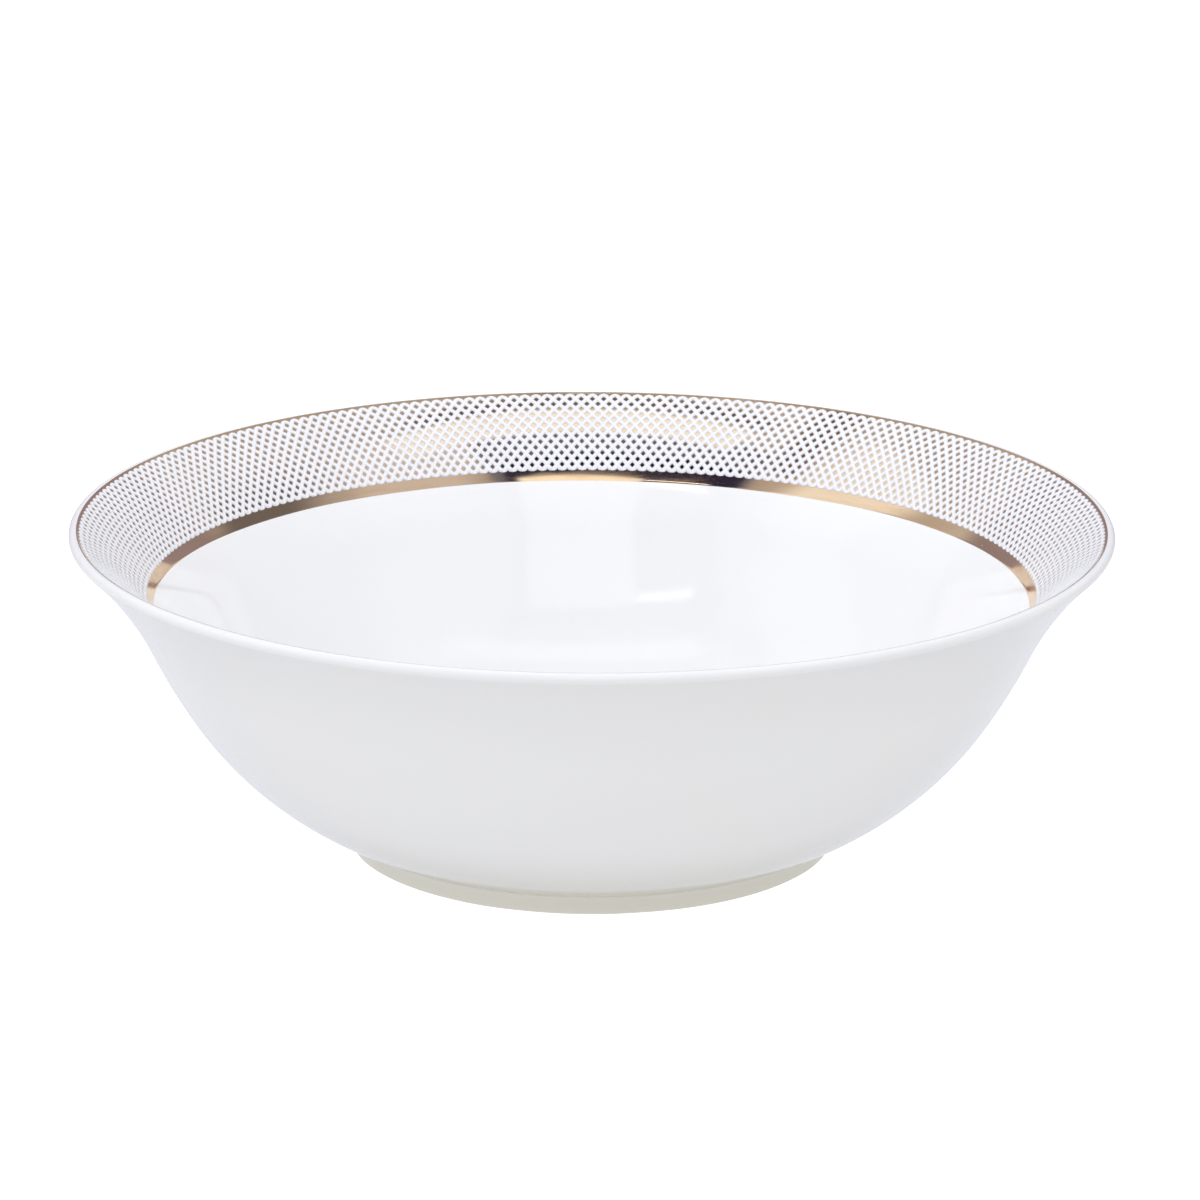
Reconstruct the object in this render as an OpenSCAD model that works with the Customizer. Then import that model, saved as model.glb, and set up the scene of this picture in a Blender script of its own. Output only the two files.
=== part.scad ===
// Round serving bowl in bone china, with a flared rim and a foot ring.
// Inside the rim lies a white enamel net over a gold ground, between a gold edge line and a gold band.
// Every piece is a section turned about Z. Z = 0 is the plane that the foot rests on.
//
// The glazed skin is one chain of tangent arcs, from the foot's flank up the outside, over the lip
// and down the inside to the well floor. A station on it is [radius, height, heading], where the
// heading is the direction of travel in degrees, and the china always lies on the left.

/* [Bowl] */
// Width across the rim
rim_diameter = 230; // [180:1:300]
// Thickness of the clear glaze
glaze_thickness = 0.25; // [0.16:0.01:0.32]
// Radius of the rounded lip
lip_radius = 1.3; // [1.1:0.05:1.6]

/* [Foot ring] */
// Height of the foot below the start of the wall
foot_height = 4.8; // [3.8:0.1:6]
// Width of the foot ring where it meets the well
foot_width = 4.9; // [3.8:0.1:8]
// Bevel on both edges of the resting face
foot_bevel = 0.4; // [0.2:0.05:0.6]

/* [Border] */
// Width of the gold line on the lip, along the surface
edge_line_width = 0.75; // [0.65:0.05:1.2]
// Number of rows of openings in the net
net_rows = 13; // [7:1:13]
// Distance from row to row, along the surface
net_row_pitch = 1.48; // [1.2:0.02:1.5]
// Plain margin of the net beyond its first and last rows
net_margin = 1.45; // [1:0.05:1.5]
// Width of the gold band below the net, along the surface
band_width = 2.75; // [1.2:0.05:3]
// Thickness of the fired gold
gold_thickness = 0.15; // [0.1:0.01:0.25]
// Thickness of the raised enamel
enamel_thickness = 0.2; // [0.14:0.01:0.3]

/* [Hidden] */
$fn = 180;

// All arcs are drawn for a bowl 230 across and grow with the rim.
scale_up = rim_diameter / 230;

// Where the wall springs from the foot, and the direction it sets off in.
spring_radius = 55.36 * scale_up;
spring_heading = 22.5;

// Outside of the wall: the round belly, the shoulder and the flare that turns out to the lip.
belly_radius = 75.1 * scale_up;
belly_sweep = 33.7;
shoulder_radius = 128 * scale_up;
shoulder_sweep = 8.1;
flare_radius = 76.5 * scale_up;
flare_sweep = 21.3;

// Inside of the wall, from the lip down: the flare, the short wall and the well's round side.
inner_flare_radius = 64.6 * scale_up;
inner_flare_sweep = 30.2;
inner_wall_radius = 109 * scale_up;
inner_wall_sweep = 10.7;
well_radius = 48.9 * scale_up;
flat_heading = 180;

// The lip turns the outside's last heading round to the inside's first one.
lip_start_heading = spring_heading + belly_sweep + shoulder_sweep - flare_sweep;
lip_end_heading = 215.5;
well_sweep = lip_end_heading + inner_flare_sweep - inner_wall_sweep - flat_heading;

// The foot's flank rises nearly upright and runs into the wall through a cove.
flank_heading = 84;
cove_radius = 2.7;
cove_centre_height = foot_height - cove_radius * cos(spring_heading);

// The foot ring is luted to the underside of the well on a flat joint, part of the way up the cove.
joint_heading = 54;
joint_height = cove_centre_height + (cove_radius + glaze_thickness) * cos(joint_heading);

// A station that lies the given part of a sweep further on. A negative sweep turns clockwise.
function travel(s, radius, sweep) =
    let (
        side = sign(sweep),
        end_heading = s[2] + sweep
    ) [
        s[0] + radius * side * (sin(end_heading) - sin(s[2])),
        s[1] - radius * side * (cos(end_heading) - cos(s[2])),
        end_heading
    ];

// Stations along an arc, without its first one.
function arc(s, radius, sweep, steps) =
    [for (i = [1 : steps]) travel(s, radius, sweep * i / steps)];

// The last item of a list.
function last(list) = list[len(list) - 1];

// A list without its first item.
function without_first(list) = [for (i = [1 : len(list) - 1]) list[i]];

// A list the other way round.
function reversed(list) = [for (i = [len(list) - 1 : -1 : 0]) list[i]];

// The points a given depth inside the glazed skin at each station. A negative depth lies outside it.
function at_depth(stations, depth) =
    [for (s = stations) [s[0] - depth * sin(s[2]), s[1] + depth * cos(s[2])]];

// The sweep that covers a length on an arc.
function sweep_of(length, radius) = length / radius * 180 / PI;

// The station where the cove has the given heading.
function cove_station(heading) = [
    spring_radius - cove_radius * (sin(heading) - sin(spring_heading)),
    cove_centre_height + cove_radius * cos(heading),
    heading
];

// Stations along the cove between two headings.
function cove(from_heading, to_heading, steps) =
    [for (i = [0 : steps]) cove_station(from_heading + (to_heading - from_heading) * i / steps)];

// The station at the given height on the foot's straight flank.
function flank_station(height) =
    let (top = cove_station(flank_heading))
    [top[0] - (top[1] - height) / tan(flank_heading), height, flank_heading];

// The foot's outside, from just above the resting face to the joint.
foot_outside = concat([flank_station(foot_bevel)], cove(flank_heading, joint_heading, 5));

// The outside of the bowl, from the joint to the start of the lip.
cove_top = cove(joint_heading, spring_heading, 5);
belly = arc(last(cove_top), belly_radius, belly_sweep, 16);
shoulder = arc(last(belly), shoulder_radius, shoulder_sweep, 5);
flare = arc(last(shoulder), flare_radius, -flare_sweep, 10);

// The lip, split where the gold line begins. Part of the line lies on the lip.
line_start_heading = 198;
lip_white = arc(last(flare), lip_radius, line_start_heading - lip_start_heading, 14);
lip_gold = arc(last(lip_white), lip_radius, lip_end_heading - line_start_heading, 3);
lip_gold_length = lip_radius * (lip_end_heading - line_start_heading) * PI / 180;

// The inner flare, split where the gold line meets the net, the net the band and the band the plain glaze.
line_sweep = sweep_of(edge_line_width - lip_gold_length, inner_flare_radius);
net_width = (net_rows - 1) * net_row_pitch + 2 * net_margin;
net_sweep = sweep_of(net_width, inner_flare_radius);
band_sweep = sweep_of(band_width, inner_flare_radius);
plain_sweep = inner_flare_sweep - line_sweep - net_sweep - band_sweep;
flare_line = arc(last(lip_gold), inner_flare_radius, line_sweep, 1);
flare_net = arc(last(flare_line), inner_flare_radius, net_sweep, 14);
flare_band = arc(last(flare_net), inner_flare_radius, band_sweep, 2);
flare_plain = arc(last(flare_band), inner_flare_radius, plain_sweep, 4);

// The rest of the inside, down to the flat floor.
inner_wall = arc(last(flare_plain), inner_wall_radius, -inner_wall_sweep, 5);
well_side = arc(last(inner_wall), well_radius, -well_sweep, 22);
floor_height = last(well_side)[1];
floor_centre = [0, floor_height, flat_heading];

outside = concat(cove_top, belly, shoulder, flare);
inside = concat(flare_line, flare_net, flare_band, flare_plain, inner_wall, well_side, [floor_centre]);
skin = concat(outside, lip_white, lip_gold, inside);

// Stations where each piece of the border begins and ends.
line_stations = concat([last(lip_white)], lip_gold, flare_line);
net_stations = concat([last(flare_line)], flare_net);
band_stations = concat([last(flare_net)], flare_band);

// The foot ring's inner side leans out a little towards the resting face.
foot_lean = 0.4;
foot_inner_top = at_depth([last(foot_outside)], glaze_thickness)[0][0] - foot_width;
foot_inner_low = foot_inner_top + foot_lean;
rest_inner = foot_inner_low + foot_bevel;
rest_outer = at_depth([foot_outside[0]], glaze_thickness)[0][0] - foot_bevel;

// Turns the ring of skin between two depths about Z.
module skin_ring(stations, shallow, deep) {
    rotate_extrude()
        polygon(concat(at_depth(stations, shallow), reversed(at_depth(stations, deep))));
}

// The fired clay under the glaze: wall, lip and well, flat below where the foot ring joins.
module china_body() {
    color("white")
        rotate_extrude()
            polygon(concat([[0, joint_height]], at_depth(skin, glaze_thickness)));
}

// The ring that the bowl stands on. Its resting face is bare of glaze.
module foot_ring() {
    color("antiquewhite")
        rotate_extrude()
            polygon(concat(
                at_depth(foot_outside, glaze_thickness),
                [
                    [foot_inner_top, joint_height],
                    [foot_inner_low, foot_bevel],
                    [rest_inner, 0],
                    [rest_outer, 0]
                ]
            ));
}

// Clear glaze over the outside of the foot, the wall, the lip and the whole inside.
module glaze_coat() {
    color("ghostwhite")
        skin_ring(concat(foot_outside, without_first(skin)), 0, glaze_thickness);
}

// Clear glaze under the well and down the foot's inner side.
module base_glaze() {
    color("ivory")
        rotate_extrude()
            polygon([
                [0, joint_height],
                [foot_inner_top, joint_height],
                [foot_inner_low, foot_bevel],
                [foot_inner_low - glaze_thickness, foot_bevel],
                [foot_inner_top - glaze_thickness, joint_height - glaze_thickness],
                [0, joint_height - glaze_thickness]
            ]);
}

// The gold line round the lip.
module gold_edge_line() {
    color("goldenrod")
        skin_ring(line_stations, -gold_thickness, 0);
}

// The gold that shows through the net.
module gold_ground() {
    color("darkgoldenrod")
        skin_ring(net_stations, -gold_thickness, 0);
}

// The plain gold band below the net.
module gold_band() {
    color("gold")
        skin_ring(band_stations, -gold_thickness, 0);
}

// The raised white enamel over the gold ground, as the plain ring that its net is cut from.
module enamel_net() {
    color("snow")
        skin_ring(net_stations, -gold_thickness - enamel_thickness, -gold_thickness);
}

china_body();
foot_ring();
glaze_coat();
base_glaze();
gold_edge_line();
gold_ground();
gold_band();
enamel_net();
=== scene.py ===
"""A bone china serving bowl: flared rim, foot ring, and a white enamel net over gold inside the rim.

The glazed skin's outline is one chain of tangent arcs, turned about Z. It runs up the foot and the
outside, over the lip and down the inside to the well floor. Every layer of the bowl is placed from
that skin: the glaze below it, then the gold and the enamel above it. Lengths are in metres.
"""

import logging
import math
from dataclasses import dataclass
from enum import Enum
from typing import Callable, Sequence

import bmesh
import bpy
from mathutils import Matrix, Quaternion, Vector


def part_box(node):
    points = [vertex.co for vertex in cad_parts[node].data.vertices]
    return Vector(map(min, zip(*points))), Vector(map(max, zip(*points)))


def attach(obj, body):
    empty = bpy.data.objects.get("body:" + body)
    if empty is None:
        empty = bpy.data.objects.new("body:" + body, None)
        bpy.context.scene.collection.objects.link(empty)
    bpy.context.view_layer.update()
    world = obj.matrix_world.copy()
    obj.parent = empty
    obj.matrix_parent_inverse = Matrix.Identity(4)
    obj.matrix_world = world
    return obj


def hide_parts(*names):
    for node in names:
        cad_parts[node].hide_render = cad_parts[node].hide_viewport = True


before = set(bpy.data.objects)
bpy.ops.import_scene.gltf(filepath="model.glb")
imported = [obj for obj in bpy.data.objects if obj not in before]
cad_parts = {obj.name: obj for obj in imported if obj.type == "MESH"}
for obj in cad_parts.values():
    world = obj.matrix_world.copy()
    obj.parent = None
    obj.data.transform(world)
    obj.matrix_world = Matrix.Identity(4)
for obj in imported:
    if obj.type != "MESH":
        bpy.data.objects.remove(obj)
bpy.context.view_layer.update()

LOG = logging.getLogger("serving_bowl")
MM = 0.001
BODY = "root"
THICKNESS = "thickness"

# The skin's arcs are drawn for this rim and grow with it. Each has a radius and a sweep in degrees.
DRAWN_RIM_RADIUS = 115.17 * MM
SPRING_RADIUS = 55.36 * MM
BELLY_ARC = (75.1 * MM, 33.7)
SHOULDER_ARC = (128.0 * MM, 8.1)
OUTER_FLARE_ARC = (76.5 * MM, -21.3)
INNER_FLARE_ARC = (64.6 * MM, 30.2)
INNER_WALL_ARC = (109.0 * MM, -10.7)
WELL_ARC = (48.9 * MM, -55.0)

Colour = tuple[float, float, float]
Outline = list[tuple[float, float]]
Point = tuple[float, float, float]


class Noise(Enum):
    """How coarse a noise pattern is, as its number of octaves."""

    SMOOTH = 1.0
    MIXED = 3.0
    FINE = 6.0


# ---------------------------------------------------------------------------------------------
# Shape of the skin
# ---------------------------------------------------------------------------------------------


@dataclass(frozen=True)
class Station:
    """A place on the skin's outline. The china lies on the left of the direction of travel.

    Attributes:
        radius: distance from the axis.
        height: distance above the resting face.
        heading: direction of travel, in radians from outwards towards up.
    """

    radius: float
    height: float
    heading: float

    def travel(self, arc_radius: float, sweep: float) -> "Station":
        """Moves along an arc.

        Args:
            arc_radius: the arc's own radius.
            sweep: how far the heading turns, in radians. A positive sweep turns left.

        Returns:
            The station at the arc's end.
        """
        end = self.heading + sweep
        side = math.copysign(arc_radius, sweep)
        return Station(
            self.radius + side * (math.sin(end) - math.sin(self.heading)),
            self.height - side * (math.cos(end) - math.cos(self.heading)),
            end,
        )

    def arc(self, arc_radius: float, sweep: float, step: float) -> list["Station"]:
        """Walks an arc in short even steps.

        Args:
            arc_radius: the arc's own radius.
            sweep: how far the heading turns, in radians.
            step: the longest step wanted.

        Returns:
            The stations after this one, the last at the arc's end.
        """
        count = max(2, math.ceil(abs(sweep) * arc_radius / step))
        return [self.travel(arc_radius, sweep * i / count) for i in range(1, count + 1)]

    def lifted(self, lift: float) -> tuple[float, float]:
        """Gives the point a distance outside the skin, or inside it for a negative lift."""
        return self.radius + lift * math.sin(self.heading), self.height - lift * math.cos(self.heading)


@dataclass(frozen=True)
class BowlSection:
    """The bowl's outline, in proportion to its rim.

    Attributes:
        rim_radius: half the width of the glazed bowl.
        lip_radius: radius of the rounded lip.
        foot_height: height at which the wall springs from the foot.
        cove_radius: radius of the cove between the foot and the wall.
        glaze: thickness of the glaze.
        foot_bevel: bevel on both edges of the resting face.
        foot_width: width of the foot ring where it meets the well.
        foot_lean: how far the foot's inner side leans out towards the resting face.
        spring_heading: heading where the wall springs from the foot.
        joint_heading: heading of the cove where the foot ring is joined on.
        flank_heading: heading of the foot's flank.
        gold_heading: heading on the lip where the gold line begins.
        flare_heading: heading where the lip runs into the inner flare.
    """

    rim_radius: float
    lip_radius: float = 1.3 * MM
    foot_height: float = 4.8 * MM
    cove_radius: float = 2.7 * MM
    glaze: float = 0.25 * MM
    foot_bevel: float = 0.4 * MM
    foot_width: float = 4.9 * MM
    foot_lean: float = 0.4 * MM
    spring_heading: float = math.radians(22.5)
    joint_heading: float = math.radians(54)
    flank_heading: float = math.radians(84)
    gold_heading: float = math.radians(198)
    flare_heading: float = math.radians(215.5)

    @property
    def grown(self) -> float:
        """Size against the bowl that the arcs are drawn for."""
        return self.rim_radius / DRAWN_RIM_RADIUS

    @property
    def inner_flare_radius(self) -> float:
        """Radius of the arc that the whole border lies on."""
        return INNER_FLARE_ARC[0] * self.grown

    @property
    def belly_radius(self) -> float:
        """Radius of the belly's arc."""
        return BELLY_ARC[0] * self.grown

    @property
    def spring(self) -> Station:
        """Where the wall springs from the foot."""
        return Station(SPRING_RADIUS * self.grown, self.foot_height, self.spring_heading)

    def _walk(self, start: Station, arcs: Sequence[tuple[float, float]], step: float) -> list[Station]:
        """Walks a chain of arcs.

        Args:
            start: where the chain begins.
            arcs: each arc's radius as drawn and its sweep in degrees.
            step: the longest step wanted.

        Returns:
            The stations after the start.
        """
        stations = [start]
        for radius, sweep in arcs:
            stations += stations[-1].arc(radius * self.grown, math.radians(sweep), step)
        return stations[1:]

    def cove(self, start: float, end: float, count: int) -> list[Station]:
        """Walks the cove under the wall.

        Args:
            start: first heading, in radians.
            end: last heading, in radians.
            count: number of steps.

        Returns:
            The stations, both ends included.
        """
        return [self._on_cove(start + (end - start) * i / count) for i in range(count + 1)]

    def _on_cove(self, heading: float) -> Station:
        """Finds a place on the cove.

        Args:
            heading: the cove's heading there, in radians.

        Returns:
            The station.
        """
        spring = self.spring
        return Station(
            spring.radius - self.cove_radius * (math.sin(heading) - math.sin(spring.heading)),
            spring.height + self.cove_radius * (math.cos(heading) - math.cos(spring.heading)),
            heading,
        )

    def foot_outside(self) -> list[Station]:
        """Walks the foot's outside.

        Returns:
            The stations, from just above the resting face to the joint with the wall.
        """
        top = self._on_cove(self.flank_heading)
        drop = top.height - self.foot_bevel
        low = Station(top.radius - drop / math.tan(self.flank_heading), self.foot_bevel, self.flank_heading)
        middle = Station((low.radius + top.radius) / 2, (low.height + top.height) / 2, self.flank_heading)
        return [low, middle, *self.cove(self.flank_heading, self.joint_heading, count=6)]

    def outside(self, step: float) -> list[Station]:
        """Walks the outside of the wall.

        Args:
            step: the longest step wanted.

        Returns:
            The stations, from the foot's joint to the start of the lip.
        """
        cove = self.cove(self.joint_heading, self.spring_heading, count=8)
        return cove + self._walk(cove[-1], (BELLY_ARC, SHOULDER_ARC, OUTER_FLARE_ARC), step)

    def lip(self, start: Station) -> tuple[list[Station], list[Station]]:
        """Rounds the lip.

        Args:
            start: the last station of the outside.

        Returns:
            The bare part of the lip, and the part that carries the gold line.
        """
        bare = start.arc(self.lip_radius, self.gold_heading - start.heading, step=0.16 * MM)
        gilt = bare[-1].arc(self.lip_radius, self.flare_heading - self.gold_heading, step=0.1 * MM)
        return bare, gilt

    def flare_start(self) -> Station:
        """Gives the station where the lip runs into the inner flare."""
        return self.lip(self.outside(1 * MM)[-1])[1][-1]

    def on_flare(self, distance: float) -> Station:
        """Gives the station a distance down the inner flare from the lip."""
        return self.flare_start().travel(self.inner_flare_radius, distance / self.inner_flare_radius)

    def inside(self, step: float) -> list[Station]:
        """Walks the inside: the flare, the wall, the well's side and its flat floor.

        Args:
            step: the longest step wanted.

        Returns:
            The stations after the lip, to the floor's centre.
        """
        stations = self._walk(self.flare_start(), (INNER_FLARE_ARC, INNER_WALL_ARC, WELL_ARC), step)
        floor = stations[-1]
        rings = 6
        across = [floor.radius * (1 - i / rings) for i in range(1, rings + 1)]
        return stations + [Station(radius, floor.height, floor.heading) for radius in across]

    @property
    def joint_height(self) -> float:
        """Height of the flat joint between the foot ring and the well."""
        return self._on_cove(self.joint_heading).lifted(-self.glaze)[1]

    @property
    def foot_inner_top(self) -> float:
        """Radius of the foot ring's inner side at the joint."""
        return self._on_cove(self.joint_heading).lifted(-self.glaze)[0] - self.foot_width


@dataclass(frozen=True)
class BorderLayout:
    """Where the gold and the net lie on the inner flare, measured down from the lip.

    Attributes:
        line_end: where the gold line gives way to the gold ground.
        rows: rows of openings.
        columns: openings round the bowl.
        row_pitch: distance from row to row.
        margin: gold ground beyond the first and last rows.
        band_width: width of the plain gold band.
        gold: thickness of the gold.
        enamel: thickness of the enamel above the gold.
    """

    line_end: float = 0.353 * MM
    rows: int = 13
    columns: int = 264
    row_pitch: float = 1.48 * MM
    margin: float = 1.45 * MM
    band_width: float = 2.75 * MM
    gold: float = 0.02 * MM
    enamel: float = 0.2 * MM

    @property
    def first_row(self) -> float:
        """Place of the outermost row of openings."""
        return self.line_end + self.margin

    @property
    def ground_end(self) -> float:
        """Place where the gold ground gives way to the plain band."""
        return self.first_row + (self.rows - 1) * self.row_pitch + self.margin

    @property
    def band_end(self) -> float:
        """Place of the band's inner edge."""
        return self.ground_end + self.band_width


# ---------------------------------------------------------------------------------------------
# Turning and handing over
# ---------------------------------------------------------------------------------------------


@dataclass(frozen=True)
class Lathe:
    """Turns outlines about Z into closed, smooth meshes.

    Attributes:
        turns: segments round the axis.
        crease: angle above which an edge stays sharp, in degrees.
    """

    turns: int = 264
    crease: float = 40.0

    def turn(self, name: str, outline: Callable[[float], Outline]) -> bpy.types.Object:
        """Turns an outline that may change a little from angle to angle.

        Args:
            name: the new object's name.
            outline: gives the closed outline at an angle in radians, with the same number of
                points every time. Points on the axis become one pole.

        Returns:
            The object, at the origin, with its faces pointing outwards.
        """
        bm = bmesh.new()
        rings = []
        for i in range(self.turns):
            angle = 2 * math.pi * i / self.turns
            across, along = math.cos(angle), math.sin(angle)
            rings.append([bm.verts.new((r * across, r * along, z)) for r, z in outline(angle)])
        for ring, following in zip(rings, rings[1:] + rings[:1]):
            for j in range(len(ring)):
                corner = (j + 1) % len(ring)
                bm.faces.new((ring[j], following[j], following[corner], ring[corner]))
        bmesh.ops.remove_doubles(bm, verts=bm.verts, dist=1e-7)
        bmesh.ops.dissolve_degenerate(bm, dist=1e-8, edges=bm.edges)
        bmesh.ops.recalc_face_normals(bm, faces=bm.faces)
        mesh = bpy.data.meshes.new(name)
        bm.to_mesh(mesh)
        bm.free()
        mesh.shade_smooth()
        mesh.set_sharp_from_angle(angle=math.radians(self.crease))
        piece = bpy.data.objects.new(name, mesh)
        bpy.context.scene.collection.objects.link(piece)
        return piece


def hand_over(piece: bpy.types.Object, node: str, material: bpy.types.Material) -> None:
    """Dresses a finished piece and puts it on the frame in place of its CAD node.

    Args:
        piece: the finished object.
        node: the CAD node that the piece stands for.
        material: the piece's material.
    """
    piece.data.materials.clear()
    piece.data.materials.append(material)
    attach(piece, BODY)
    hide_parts(node)
    triangles = sum(len(face.vertices) - 2 for face in piece.data.polygons)
    LOG.info("%s stands for %s: %d triangles", piece.name, node, triangles)


# ---------------------------------------------------------------------------------------------
# Node trees
# ---------------------------------------------------------------------------------------------


@dataclass
class Wiring:
    """Adds and joins the nodes of one tree.

    Attributes:
        tree: the tree.
    """

    tree: bpy.types.NodeTree

    def add(self, kind: str, **settings: object) -> bpy.types.Node:
        """Adds a node and sets its properties.

        Args:
            kind: the node's type.
            settings: its properties' values.

        Returns:
            The node.
        """
        node = self.tree.nodes.new(kind)
        for name, value in settings.items():
            setattr(node, name, value)
        return node

    def feed(self, socket: bpy.types.NodeSocket, source: object) -> None:
        """Joins a socket to another one, or gives it a plain value.

        Args:
            socket: the input to feed.
            source: the output to join it to, or its value.
        """
        if isinstance(source, bpy.types.NodeSocket):
            self.tree.links.new(source, socket)
        else:
            socket.default_value = source

    def math(self, operation: str, *values: object, clamp: bool = False) -> bpy.types.NodeSocket:
        """Adds a Math node.

        Args:
            operation: what it works out.
            values: its inputs.
            clamp: whether the result is kept between 0 and 1.

        Returns:
            Its result.
        """
        node = self.add("ShaderNodeMath", operation=operation, use_clamp=clamp)
        for socket, value in zip(node.inputs, values):
            self.feed(socket, value)
        return node.outputs[0]

    def vector(self, operation: str, *values: object) -> bpy.types.Node:
        """Adds a Vector Math node.

        Args:
            operation: what it works out.
            values: its inputs.

        Returns:
            The node.
        """
        node = self.add("ShaderNodeVectorMath", operation=operation)
        for socket, value in zip(node.inputs, values):
            self.feed(socket, value)
        return node

    def ramp(self, value: object, low: object, high: object) -> bpy.types.NodeSocket:
        """Maps a value from a range to 0 to 1, smoothly and clamped.

        Args:
            value: the value.
            low: what becomes 0.
            high: what becomes 1.

        Returns:
            The mapped value.
        """
        node = self.add("ShaderNodeMapRange", interpolation_type="SMOOTHSTEP")
        for name, source in (("Value", value), ("From Min", low), ("From Max", high)):
            self.feed(node.inputs[name], source)
        return node.outputs["Result"]

    def mix(self, factor: object, first: object, second: object) -> bpy.types.NodeSocket:
        """Mixes two colours.

        Args:
            factor: the second one's share.
            first: the first colour.
            second: the second colour.

        Returns:
            The mixed colour.
        """
        node = self.add("ShaderNodeMix", data_type="RGBA")
        for name, source in (("Factor_Float", factor), ("A_Color", first), ("B_Color", second)):
            self.feed(next(s for s in node.inputs if s.identifier == name), source)
        return next(s for s in node.outputs if s.identifier == "Result_Color")

    def noise(self, vector: object, scale: object, octaves: Noise) -> bpy.types.NodeSocket:
        """Adds a noise pattern.

        Args:
            vector: where it is read.
            scale: how many times it is repeated in a metre.
            octaves: how coarse it is.

        Returns:
            Its value.
        """
        node = self.add("ShaderNodeTexNoise")
        self.feed(node.inputs["Vector"], vector)
        self.feed(node.inputs["Scale"], scale)
        node.inputs["Detail"].default_value = octaves.value
        return node.outputs["Fac"]


def rgba(colour: Colour) -> tuple[float, float, float, float]:
    """Adds full opacity to a colour."""
    return (*colour, 1.0)


class SurfaceEffects:
    """Shader groups for the marks that several finishes share. Each is built once.

    Attributes:
        ripple: faint unevenness of a fired surface.
        wheel_marks: marks drawn out round the axis.
        specks: small scattered specks.
    """

    def __init__(self) -> None:
        """Builds every group."""
        self.ripple = self._build_ripple()
        self.wheel_marks = self._build_wheel_marks()
        self.specks = self._build_specks()

    @staticmethod
    def _start(name: str, inputs: dict[str, float], outputs: Sequence[str]) -> Wiring:
        """Starts a group.

        Args:
            name: the group's name.
            inputs: each input's name and usual value.
            outputs: each output's name.

        Returns:
            The wiring of the new group.
        """
        tree = bpy.data.node_groups.new(name, "ShaderNodeTree")
        for label, value in inputs.items():
            socket = tree.interface.new_socket(label, in_out="INPUT", socket_type="NodeSocketFloat")
            socket.default_value = value
        for label in outputs:
            tree.interface.new_socket(label, in_out="OUTPUT", socket_type="NodeSocketFloat")
        return Wiring(tree)

    def _build_ripple(self) -> bpy.types.NodeTree:
        """Builds the faint unevenness that a fired glaze keeps.

        Returns:
            The group.
        """
        wiring = self._start("glaze_ripple", {"Scale": 220.0}, ("Height", "Tone"))
        given = wiring.add("NodeGroupInput").outputs
        place = wiring.add("ShaderNodeTexCoord").outputs["Object"]
        fine = wiring.noise(place, given["Scale"], Noise.SMOOTH)
        broad = wiring.noise(place, wiring.math("MULTIPLY", given["Scale"], 0.12), Noise.MIXED)
        result = wiring.add("NodeGroupOutput")
        wiring.feed(result.inputs["Height"], wiring.math("MULTIPLY_ADD", fine, 0.4, broad))
        wiring.feed(result.inputs["Tone"], wiring.ramp(broad, 0.3, 0.7))
        return wiring.tree

    def _build_wheel_marks(self) -> bpy.types.NodeTree:
        """Builds marks drawn out round the axis, as a wheel or a banding brush leaves them.

        Returns:
            The group.
        """
        wiring = self._start("wheel_marks", {"Around": 3.0, "Across": 2500.0}, ("Height", "Streak"))
        given = wiring.add("NodeGroupInput").outputs
        place = wiring.add("ShaderNodeTexCoord").outputs["Object"]
        split = wiring.add("ShaderNodeSeparateXYZ")
        wiring.feed(split.inputs[0], place)
        flat = wiring.vector("MULTIPLY", place, (1.0, 1.0, 0.0)).outputs["Vector"]
        radius = wiring.vector("LENGTH", flat).outputs["Value"]
        ring = wiring.add("ShaderNodeCombineXYZ")
        turn = wiring.vector("NORMALIZE", flat).outputs["Vector"]
        turn_split = wiring.add("ShaderNodeSeparateXYZ")
        wiring.feed(turn_split.inputs[0], turn)
        for axis in ("X", "Y"):
            wiring.feed(ring.inputs[axis], wiring.math("MULTIPLY", turn_split.outputs[axis], given["Around"]))
        slope = wiring.math("SUBTRACT", radius, split.outputs["Z"])
        wiring.feed(ring.inputs["Z"], wiring.math("MULTIPLY", slope, given["Across"]))
        streak = wiring.noise(ring.outputs[0], 1.0, Noise.MIXED)
        result = wiring.add("NodeGroupOutput")
        wiring.feed(result.inputs["Height"], streak)
        wiring.feed(result.inputs["Streak"], wiring.ramp(streak, 0.35, 0.75))
        return wiring.tree

    def _build_specks(self) -> bpy.types.NodeTree:
        """Builds small scattered specks, a share of the cells of an even scatter.

        Returns:
            The group.
        """
        usual = {"Scale": 90.0, "Size": 0.05, "Share": 0.1}
        wiring = self._start("specks", usual, ("Mask",))
        given = wiring.add("NodeGroupInput").outputs
        place = wiring.add("ShaderNodeTexCoord").outputs["Object"]
        cells = wiring.add("ShaderNodeTexVoronoi", voronoi_dimensions="3D", feature="F1")
        wiring.feed(cells.inputs["Vector"], place)
        wiring.feed(cells.inputs["Scale"], given["Scale"])
        chance = wiring.add("ShaderNodeSeparateColor")
        wiring.feed(chance.inputs[0], cells.outputs["Color"])
        chosen = wiring.math("LESS_THAN", chance.outputs[0], given["Share"])
        near = wiring.math("LESS_THAN", cells.outputs["Distance"], given["Size"])
        result = wiring.add("NodeGroupOutput")
        wiring.feed(result.inputs["Mask"], wiring.math("MULTIPLY", chosen, near))
        return wiring.tree


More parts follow.
